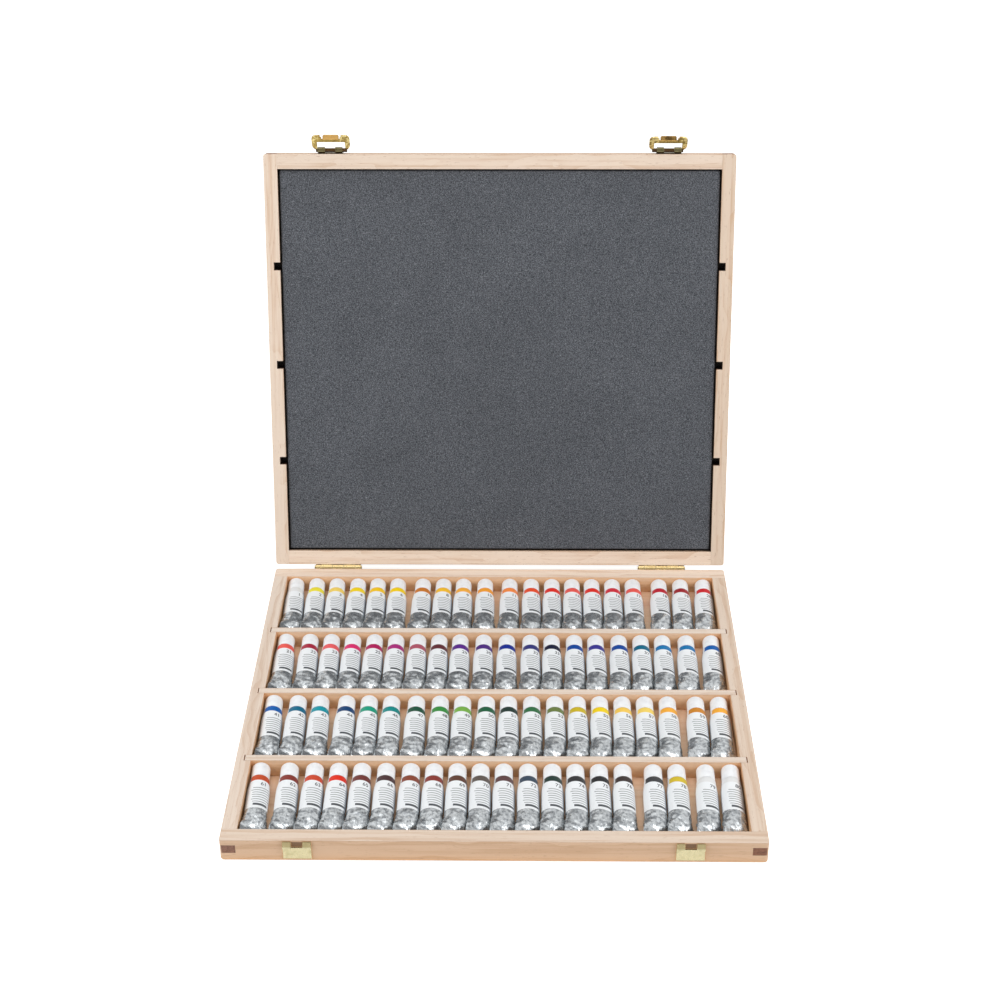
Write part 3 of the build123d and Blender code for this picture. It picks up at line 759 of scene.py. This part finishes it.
CAP_LENGTH = 13.6 * MM
CAP_PROFILE = [
    (5.6, 0.0), (6.18, 0.0), (6.3, 0.15), (6.3, 0.9), (6.22, 1.05), (6.22, 1.2), (6.3, 1.35), (6.3, 6.0),
    (6.28, 12.0), (6.18, 12.6), (5.85, 13.13), (5.35, 13.47), (4.7, 13.6), (3.0, 13.58), (1.1, 13.56),
    (0.85, 13.4), (0.4, 13.4)]
CAP_STEPS = 40
cap_rings = [[(radius * MM * math.cos(angle), CAP_LIFT + height * MM, -radius * MM * math.sin(angle))
              for angle in np.linspace(0, 2 * math.pi, CAP_STEPS, endpoint=False)]
             for radius, height in CAP_PROFILE]
plain_cap = link_piece("plain_cap", stacked_mesh(
    "plain cap", cap_rings, [height * MM / CAP_LENGTH for _, height in CAP_PROFILE],
    [0.0] * len(CAP_PROFILE)))
print("one tube:", len(plain_tube.data.polygons), "faces, one cap:", len(plain_cap.data.polygons))

# %% [markdown]
# ## A row of tubes in Geometry Nodes
# Twenty tubes in a row are one piece repeated, so a node tree sets them out. It gets a cloud of points, one
# for each tube, with the tube's turn and its pigment colour stored on the point. It puts the prototype on
# every point and makes the copies real. Then it crumples the foil: a Voronoi pattern gives flat facets with
# sharp creases, and because it works on the finished place in the box, no two tubes get the same creases. The
# prototype's foil attribute says how much each ring may crumple. The same tree sets out the caps.

# %% Geometry Nodes: a row on points
WANDER_SCALE = 180
WANDER_SIZE = 4 * MM
MEAN_FACET = 0.45
SMALL_FACETS = 2.3
TUBE_DENT_SCALE = 70

row_tree, given, result = new_group(
    "Row On Points", "GeometryNodeTree",
    {"Points": "Geometry", "Prototype": "Object", "Crease Height": "Float", "Crease Size": "Float",
     "Dent Height": "Float", "Sharp Above": "Float", "Finish": "Material"}, {"Geometry": "Geometry"})
prototype = add_node(row_tree, "GeometryNodeObjectInfo", {"Object": given["Prototype"]}).outputs["Geometry"]
turn = add_node(row_tree, "GeometryNodeInputNamedAttribute", {"Name": "turn"}, data_type="FLOAT_VECTOR")
turn = add_node(row_tree, "FunctionNodeEulerToRotation", {0: turn.outputs[0]}).outputs[0]
copies = add_node(row_tree, "GeometryNodeInstanceOnPoints",
                  {"Points": given["Points"], "Instance": prototype, "Rotation": turn}).outputs[0]
real = add_node(row_tree, "GeometryNodeRealizeInstances", {"Geometry": copies}).outputs[0]
where = add_node(row_tree, "GeometryNodeInputPosition").outputs[0]
foil = add_node(row_tree, "GeometryNodeInputNamedAttribute", {"Name": "foil"}, data_type="FLOAT").outputs[0]
wander = noise_of(where, WANDER_SCALE, 1.0, output=1)
astray = vector_calc("ADD", where, scaled_vector(wander, WANDER_SIZE))


def facets_of(scale):
    return add_node(row_tree, "ShaderNodeTexVoronoi", {"Vector": astray, "Scale": scale}, feature="F1",
                    distance="CHEBYCHEV").outputs["Distance"]


crease_scale = calc("DIVIDE", 1.0, given["Crease Size"])
large = minus(facets_of(crease_scale), MEAN_FACET)
small = minus(facets_of(times(crease_scale, SMALL_FACETS)), MEAN_FACET)
crease = times(times(plus(large, times(small, 0.4)), given["Crease Height"]), foil)
dent = times(calc("MINIMUM", minus(noise_of(where, TUBE_DENT_SCALE, 1.0), 0.5), 0.0), given["Dent Height"])
normal = add_node(row_tree, "GeometryNodeInputNormal").outputs[0]
offset = scaled_vector(normal, plus(crease, dent))
creased = add_node(row_tree, "GeometryNodeSetPosition", {"Geometry": real, "Offset": offset}).outputs[0]
smooth = add_node(row_tree, "GeometryNodeSetShadeSmooth", {"Geometry": creased}, domain="FACE").outputs[0]
fold = add_node(row_tree, "GeometryNodeInputMeshEdgeAngle").outputs["Unsigned Angle"]
gentle = add_node(row_tree, "FunctionNodeCompare", {0: fold, 1: given["Sharp Above"]}, data_type="FLOAT",
                  operation="LESS_THAN").outputs[0]
shaded = add_node(row_tree, "GeometryNodeSetShadeSmooth", {"Geometry": smooth, "Shade Smooth": gentle},
                  domain="EDGE").outputs[0]
dressed = add_node(row_tree, "GeometryNodeSetMaterial",
                   {"Geometry": shaded, "Material": given["Finish"]}).outputs[0]
feed(result, Geometry=dressed)
print("row tree:", len(row_tree.nodes), "nodes")


def run_tree(name, source, group, inputs):
    modifier = source.modifiers.new("set out", "NODES")
    modifier.node_group = group
    for item in group.interface.items_tree:
        if item.item_type == "SOCKET" and item.in_out == "INPUT" and item.name in inputs:
            modifier[item.identifier] = inputs[item.name]
    source.update_tag()
    seen = source.evaluated_get(bpy.context.evaluated_depsgraph_get())
    mesh = bpy.data.meshes.new_from_object(seen)
    mesh.name = name
    while len(mesh.materials) > 1 and mesh.materials[0] is None:
        mesh.materials.pop(index=0)
    source.modifiers.remove(modifier)
    return link_piece(name, mesh)


# %% [markdown]
# ## Printed enamel and bare foil
# Each tube is coated with white enamel from its shoulder down to more than half its length, with a band in
# the colour of its paint. Below that the aluminium is bare. It is one surface, so one material does it all:
# the UV map says how far a spot is from the shoulder, and masks choose band, enamel, thin grey rules, one
# heavier rule or metal. The rules stand for lines to write on, and a plain running number goes on each label.
# This material counts in millimetres, down from the shoulder and around from the middle of the label.

# %% Enamel and foil
LABEL_LENGTH = 33.3 * MM
PRINT_CENTRE = 2.9 * MM
BAND = (0.5, 5.7)
SEAM = (-13.4, -10.1)
RULE_BLOCK = (12.0, 28.4)
RULE_SPACING = 2.35
RULE_HALF = (4.6, 7.0)
HEAVY_RULE = (28.7, 31.0)
HEAVY_RULE_HALF = 4.9
RULE_WEIGHT = (0.17, 0.1)
PRINT_BLUR = 0.1
PRINT_WAVER_SCALE = 90
TOP_OF_WRAP = 0.25
ENAMEL_WHITE = from_screen(239, 242, 244)
RULE_GREY = from_screen(52, 56, 62)
ENAMEL_SHADE = from_screen(128, 138, 150)
TUBE_NOOK = 5 * MM
FOIL_BRIGHT = from_screen(206, 210, 212)
FOIL_DULL = from_screen(124, 128, 132)
FOIL_RELIEF = 0.12 * MM
FOIL_RUB_SCALE = 420
WRINKLE_SCALE = (700, 350, 700)
CRUMPLE_STRETCH = 0.18
CRUMPLE_SCALE = 0.9
SEED_SPREAD = 97.0


tube_finish, tree, shader = new_finish("enamel and foil", {"Specular IOR Level": 0.3})
wrap = axes_of(add_node(tree, "ShaderNodeUVMap", uv_map="Wrap").outputs[0])
down = times(wrap["Y"], TUBE_FULL_LENGTH / MM)
around = times(minus(TOP_OF_WRAP, wrap["X"]), 2 * math.pi * TUBE_RADIUS / MM)
around = minus(around, PRINT_CENTRE / MM)
place = object_place(tree)
print_drift = times(minus(noise_of(place, PRINT_WAVER_SCALE, 1.0), 0.5), 0.5)
label_end = LABEL_LENGTH / MM
is_foil = ramp(plus(down, print_drift), label_end - PRINT_BLUR, label_end + PRINT_BLUR)
is_band = times(mask_between(down, BAND, 0.15), minus(1.0, mask_between(around, SEAM, PRINT_BLUR)))
pigment = add_node(tree, "ShaderNodeAttribute", attribute_name="pigment").outputs["Color"]

line = calc("DIVIDE", down, RULE_SPACING)
on_line = ramp(size_of(minus(calc("FRACT", line), 0.5)), *RULE_WEIGHT)
line_chance = add_node(tree, "ShaderNodeTexWhiteNoise", {"W": calc("FLOOR", line)}, noise_dimensions="1D")
line_reach = ramp(line_chance.outputs["Value"], 0, 1, *RULE_HALF, smooth=False)
within = ramp(minus(size_of(around), line_reach), 0.05, -0.05)
thin_rule = times(times(on_line, within), mask_between(down, RULE_BLOCK, PRINT_BLUR))
heavy_reach = ramp(size_of(around), HEAVY_RULE_HALF, HEAVY_RULE_HALF - 0.2)
heavy_rule = times(mask_between(down, HEAVY_RULE, 0.2), heavy_reach)
is_rule = calc("MAXIMUM", times(thin_rule, 0.8), heavy_rule)
enamel = mix_colour(is_band, ENAMEL_WHITE, pigment)
enamel = mix_colour(times(is_rule, 0.95), enamel, RULE_GREY)
in_nook = ramp(openness_within(tree, TUBE_NOOK), 0.75, 0.35, 0.0, 0.8)
enamel = mix_colour(in_nook, enamel, ENAMEL_SHADE)

rub = ramp(noise_of(place, FOIL_RUB_SCALE, 3.0, 0.6), 0.35, 0.7)
tube_colour = mix_colour(is_foil, enamel, mix_colour(rub, FOIL_BRIGHT, FOIL_DULL))
tube_roughness = ramp(is_foil, 0, 1, 0.42, ramp(rub, 0, 1, 0.22, 0.36), smooth=False)
wrinkles = stretched_noise(place, WRINKLE_SCALE, 3.0, 0.6)
tube_seed = times(axes_of(pigment)["X"], SEED_SPREAD)
along_tube = add_node(tree, "ShaderNodeCombineXYZ",
                      {"X": around, "Y": times(down, CRUMPLE_STRETCH), "Z": tube_seed}).outputs[0]
streaks = noise_of(along_tube, CRUMPLE_SCALE, 3.0)
crumple = plus(times(wrinkles, 0.5), times(streaks, 1.6))
crumple = times(crumple, plus(times(is_foil, 0.9), 0.1))
feed(shader, Base_Color=tube_colour, Metallic=times(is_foil, 0.78), Roughness=tube_roughness,
     Normal=bumped(1.0, FOIL_RELIEF, crumple))
print("enamel and foil:", len(tree.nodes), "nodes")

# %% Cap plastic
CAP_WHITE = from_screen(245, 247, 249)
CAP_HANDLED = from_screen(235, 237, 240)
CAP_RELIEF = 0.02 * MM

cap_finish, tree, shader = new_finish("white cap plastic", {})
place = object_place(tree)
handling = noise_of(place, 240, 3.0)
cap_colour = mix_colour(ramp(handling, 0.4, 0.75), CAP_WHITE, CAP_HANDLED)
feed(shader, Base_Color=cap_colour, Roughness=ramp(handling, 0.3, 0.7, 0.4, 0.52),
     Normal=bumped(0.5, CAP_RELIEF, noise_of(place, 1500, 2.0)))
print("cap plastic:", len(tree.nodes), "nodes")

# %% [markdown]
# ## Eighty pigments
# The colours run through the rows like a colour wheel: yellows to reds, pinks to blues, blues to yellows, and
# earths to blacks. Each name stands for one paint, and the same paint name may serve two tubes.

# %% Pigments and rows
PIGMENTS = {
    "white": (228, 229, 229), "lemon": (240, 226, 60), "pale yellow": (246, 214, 104),
    "yellow": (246, 214, 26), "golden yellow": (246, 200, 28), "bright yellow": (250, 212, 10),
    "ochre": (205, 122, 44), "amber": (248, 192, 44), "orange yellow": (248, 176, 62),
    "soft orange": (246, 160, 48), "light orange": (246, 140, 70), "vermilion": (236, 78, 40),
    "scarlet": (226, 44, 34), "coral": (236, 92, 84), "rose red": (214, 50, 66), "crimson": (190, 30, 50),
    "dark red": (158, 34, 44), "red": (206, 36, 44), "carmine": (168, 36, 62), "coral pink": (236, 96, 100),
    "pink": (222, 44, 112), "magenta": (178, 24, 92), "purple pink": (172, 42, 124),
    "dusty rose": (176, 84, 104), "maroon": (98, 44, 52), "violet": (92, 38, 140),
    "deep violet": (80, 44, 130), "ultramarine": (18, 42, 146), "violet blue": (58, 52, 146),
    "indigo": (14, 20, 52), "cobalt blue": (8, 70, 156), "purple blue": (52, 54, 122), "blue": (8, 92, 172),
    "teal blue": (6, 104, 136), "cerulean": (24, 118, 178), "turquoise": (12, 150, 166),
    "sea green": (20, 156, 126), "dark blue": (6, 62, 112), "teal": (12, 138, 136),
    "dark green": (22, 78, 56), "green": (52, 140, 62), "light green": (120, 176, 74),
    "deep green": (26, 92, 60), "black green": (28, 52, 46), "olive green": (106, 124, 66),
    "olive yellow": (206, 182, 40), "warm yellow": (246, 204, 90), "burnt orange": (208, 136, 44),
    "rust": (196, 78, 40), "brown red": (134, 52, 44), "orange red": (204, 72, 44),
    "bright red": (224, 46, 22), "red brown": (110, 50, 46), "dark brown": (70, 44, 46),
    "brown": (136, 68, 48), "umber": (92, 56, 42), "grey brown": (92, 82, 76), "slate": (54, 70, 88),
    "near black": (44, 44, 46), "black": (34, 34, 36), "black brown": (56, 46, 44), "charcoal": (62, 62, 64),
    "gold": (214, 188, 52), "grass green": (46, 108, 66), "dusty brown": (92, 62, 62),
}
ROWS = {
    "row_1": ["white", "lemon", "pale yellow", "yellow", "golden yellow", "bright yellow", "ochre", "amber",
              "orange yellow", "soft orange", "light orange", "vermilion", "scarlet", "coral", "scarlet",
              "rose red", "coral", "crimson", "dark red", "red"],
    "row_2": ["coral", "carmine", "coral pink", "pink", "magenta", "purple pink", "dusty rose", "maroon",
              "violet", "deep violet", "ultramarine", "purple blue", "indigo", "cobalt blue", "violet blue",
              "cobalt blue", "teal blue", "cerulean", "cerulean", "blue"],
    "row_3": ["blue", "teal blue", "turquoise", "dark blue", "sea green", "teal", "dark green", "green",
              "light green", "deep green", "black green", "grass green", "olive green", "olive yellow",
              "yellow", "warm yellow", "pale yellow", "orange yellow", "burnt orange", "orange yellow"],
    "row_4": ["rust", "brown red", "orange red", "bright red", "red brown", "dark brown", "brown",
              "brown red", "umber", "grey brown", "dusty brown", "slate", "black green", "near black",
              "black", "black brown", "charcoal", "gold", "white", "white"],
}


def row_points(row):
    mesh = bpy.data.meshes.new(row + " points")
    mesh.from_pydata([m.translation for m in tube_places[row]], [], [])
    turns = mesh.attributes.new("turn", "FLOAT_VECTOR", "POINT")
    turns.data.foreach_set("vector", [angle for m in tube_places[row] for angle in m.to_euler()])
    colours = mesh.attributes.new("pigment", "FLOAT_COLOR", "POINT")
    channels = [channel for name in ROWS[row] for channel in from_screen(*PIGMENTS[name])]
    colours.data.foreach_set("color", channels)
    return link_piece(row + "_points", mesh)


CRUMPLED_TUBE = {"Prototype": plain_tube, "Crease Height": 1.1 * MM, "Crease Size": 4.2 * MM,
                 "Dent Height": 0.25 * MM, "Sharp Above": math.radians(35), "Finish": tube_finish}
SMOOTH_CAP = {"Prototype": plain_cap, "Crease Height": 0.0, "Crease Size": 3.4 * MM,
              "Dent Height": 0.0, "Sharp Above": math.radians(50), "Finish": cap_finish}
for row in ROW_NAMES:
    points = row_points(row)
    tubes = run_tree(row + "_painted_tubes", points, row_tree, CRUMPLED_TUBE)
    caps = run_tree(row + "_screw_caps", points, row_tree, SMOOTH_CAP)
    bpy.data.objects.remove(points)
    for piece, node_name, slot_name in ((tubes, "_tubes", "tube_metal"), (caps, "_caps", "cap_plastic")):
        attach(piece, row)
        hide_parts(row + node_name)
        print(piece.name, len(piece.data.polygons), "faces", [m.name for m in piece.data.materials])
for prototype_piece in (plain_tube, plain_cap):
    bpy.data.objects.remove(prototype_piece)

# %% [markdown]
# ## Running numbers
# Each label carries a plain number from 1 to 80 in black ink. A node tree writes the number, fills it and
# gives it a hair of thickness. It is run once for each number. Each flat number is then laid on its tube's
# skin, and the numbers of a row are joined into one piece.

# %% Geometry Nodes: a number wrapped on a label
number_tree, given, result = new_group(
    "Label Number", "GeometryNodeTree",
    {"Geometry": "Geometry", "Number": "Int", "Size": "Float", "Ink Depth": "Float", "Ink": "Material"},
    {"Geometry": "Geometry"})
written = add_node(number_tree, "FunctionNodeValueToString", data_type="INT")
feed(written, Value=given["Number"])
letters = add_node(number_tree, "GeometryNodeStringToCurves",
                   {"String": written.outputs[0], "Size": given["Size"]},
                   align_x="CENTER", align_y="MIDDLE").outputs[0]
flat = add_node(number_tree, "GeometryNodeFillCurve", {"Curve": letters}, mode="TRIANGLES").outputs[0]
flat = add_node(number_tree, "GeometryNodeRealizeInstances", {"Geometry": flat}).outputs[0]
raised = add_node(number_tree, "GeometryNodeExtrudeMesh",
                  {"Mesh": flat, "Offset Scale": given["Ink Depth"], "Individual": False},
                  mode="FACES").outputs[0]
underside = add_node(number_tree, "GeometryNodeFlipFaces", {"Mesh": flat}).outputs[0]
both = add_node(number_tree, "GeometryNodeJoinGeometry")
for half in (raised, underside):
    feed(both, Geometry=half)
closed = add_node(number_tree, "GeometryNodeMergeByDistance",
                  {"Geometry": both.outputs[0], "Distance": 0.001 * MM}).outputs[0]
real = add_node(number_tree, "GeometryNodeRealizeInstances", {"Geometry": closed}).outputs[0]
inked = add_node(number_tree, "GeometryNodeSetMaterial",
                 {"Geometry": real, "Material": given["Ink"]}).outputs[0]
feed(result, Geometry=inked)
print("number tree:", len(number_tree.nodes), "nodes")

# %% Ink and numbers
INK_BLACK = from_screen(42, 44, 48)
INK_THIN = from_screen(70, 72, 78)
INK_DEPTH = 0.07 * MM
NUMBER_SIZE = 4.2 * MM
NUMBER_DISTANCE = 9.0 * MM
TUBES_PER_ROW = 20

ink, tree, shader = new_finish("label ink", {})
thin_ink = ramp(noise_of(object_place(tree), 2500, 2.0), 0.45, 0.7)
feed(shader, Base_Color=mix_colour(thin_ink, INK_BLACK, INK_THIN), Roughness=ramp(thin_ink, 0, 1, 0.45, 0.6))


def on_the_tube(point):
    # The flat number's point, laid on the tube's skin and lifted by its own thickness.
    distance = NUMBER_DISTANCE - point.y
    half_width, half_height, flat = tube_section(distance)
    angle = (point.x + PRINT_CENTRE) / TUBE_RADIUS
    x, z = half_width * math.sin(angle), half_height * math.cos(angle)
    outward = Vector((x / half_width ** 2, z / half_height ** 2)).normalized() * point.z
    x, z = turned(x + outward.x, z + outward.y, flat)
    return Vector((x, -distance, z))


pen = link_piece("pen", bpy.data.meshes.new("pen"))
for row_index, row in enumerate(ROW_NAMES):
    points, faces = [], []
    for index, matrix in enumerate(tube_places[row]):
        written_number = run_tree("number", pen, number_tree, {
            "Number": row_index * TUBES_PER_ROW + index + 1, "Size": NUMBER_SIZE, "Ink Depth": INK_DEPTH,
            "Ink": ink})
        start = len(points)
        points += [matrix @ on_the_tube(vertex.co) for vertex in written_number.data.vertices]
        faces += [[start + corner for corner in polygon.vertices] for polygon in written_number.data.polygons]
        bpy.data.objects.remove(written_number)
    mesh = bpy.data.meshes.new(row + " numbers")
    mesh.from_pydata(points, [], faces)
    mesh.materials.append(ink)
    numbers = link_piece(row + "_label_numbers", mesh)
    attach(numbers, row)
    print(numbers.name, len(faces), "faces")
bpy.data.objects.remove(pen)

# %% [markdown]
# ## The foam pad
# A sheet of dark grey open-cell foam fills the lid and holds the tubes when it is shut. It is cut square, so
# it is not a crowned cushion: its edges are only a little rounded and its face only a little wavy. The mesh
# is a block whose lines are close together near the edges, where the rounding is. The cells show as fine
# light and dark specks.

# %% Foam mesh
FOAM_ROUNDING = 1.1 * MM
FOAM_WAVE = 0.28 * MM
WAVE_MARGIN = 12 * MM
BROAD_WAVE = 26
FINE_WAVE = 90
FACE_SLACK = 0.5 * MM
FOAM_LINES = (64, 58, 3)
EDGE_LINES = np.array([0.0, 0.12, 0.3, 0.55, 0.8, 1.1, 1.6]) * MM
EDGE_ZONE = 2.5 * MM


def swung(points, angle):
    swing = Matrix.Rotation(angle, 4, "X")
    return [swing @ (Vector(point) - HINGE_LINE) + HINGE_LINE for point in points]


def edge_dense(low, high, middle_count):
    middle = np.linspace(low + EDGE_ZONE, high - EDGE_ZONE, middle_count)
    return [*(low + EDGE_LINES), *middle, *(high - EDGE_LINES[::-1])]


shut_foam = np.array(swung(corner_points("lid_foam"), LID_ANGLE))
foam_low, foam_high = shut_foam.min(axis=0), shut_foam.max(axis=0)
lines = [edge_dense(*limits) for limits in zip(foam_low, foam_high, FOAM_LINES)]
counts = [len(values) for values in lines]
index_of, foam_points, foam_faces = {}, [], []


def foam_point(i, j, k):
    if (i, j, k) not in index_of:
        raw = np.array([lines[0][i], lines[1][j], lines[2][k]])
        core = np.clip(raw, foam_low + FOAM_ROUNDING, foam_high - FOAM_ROUNDING)
        out = raw - core
        length = np.linalg.norm(out)
        spot = core + out / length * FOAM_ROUNDING if length > 0 else raw
        wave = noise.noise(Vector(spot) * BROAD_WAVE) * 0.6 + noise.noise(Vector(spot) * FINE_WAVE) * 0.4
        inner = min(raw[0] - foam_low[0], foam_high[0] - raw[0], raw[1] - foam_low[1], foam_high[1] - raw[1])
        if raw[2] < foam_low[2] + FACE_SLACK:
            spot[2] += FOAM_WAVE * (1 + wave) / 2 * min(1.0, inner / WAVE_MARGIN)
        index_of[(i, j, k)] = len(foam_points)
        foam_points.append(spot)
    return index_of[(i, j, k)]


for axis in range(3):
    first, second = [other for other in range(3) if other != axis]
    for end in (0, counts[axis] - 1):
        for a in range(counts[first] - 1):
            for b in range(counts[second] - 1):
                corners = []
                for da, db in ((0, 0), (1, 0), (1, 1), (0, 1)):
                    place = [0, 0, 0]
                    place[axis], place[first], place[second] = end, a + da, b + db
                    corners.append(foam_point(*place))
                outward = (end == 0) == (axis == 1)
                foam_faces.append(corners if outward else corners[::-1])
foam_mesh = bpy.data.meshes.new("foam pad")
foam_mesh.from_pydata(swung(foam_points, -LID_ANGLE), [], foam_faces)
foam_mesh.shade_smooth()

# %% Foam finish and pad
FOAM_GREY = from_screen(58, 60, 64)
FOAM_PALE = from_screen(112, 115, 121)
FOAM_GLINT = from_screen(170, 173, 180)
FOAM_CLOUD = from_screen(40, 41, 44)
FOAM_CELL_DEPTH = 0.25 * MM

foam_finish, tree, shader = new_finish("grey foam", {"Specular IOR Level": 0.1})
place = object_place(tree)
cells = add_node(tree, "ShaderNodeTexVoronoi", {"Vector": place, "Scale": 1300}, feature="F1").outputs[0]
specks = noise_of(place, 1500, 2.0, 0.7)
drift = noise_of(place, 22, 3.0)
foam_tone = mix_colour(ramp(specks, 0.36, 0.64), FOAM_GREY, FOAM_PALE)
foam_tone = mix_colour(ramp(specks, 0.66, 0.74), foam_tone, FOAM_GLINT)
foam_tone = mix_colour(ramp(drift, 0.3, 0.7, 0.0, 0.12), foam_tone, FOAM_CLOUD)
feed(shader, Base_Color=foam_tone, Roughness=ramp(specks, 0.3, 0.7, 0.85, 0.97),
     Normal=bumped(0.7, FOAM_CELL_DEPTH, cells))

foam = link_piece("foam_pad", foam_mesh)
foam.data.materials.append(foam_finish)
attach(foam, "lid")
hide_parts("lid_foam")
print("foam pad:", len(foam_faces), "faces")

# %% Finish
new_low, new_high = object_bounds()
for name, extent in (("CAD box", cad_high - cad_low), ("dressed box", new_high - new_low)):
    print(name, [round(value / MM, 1) for value in extent])
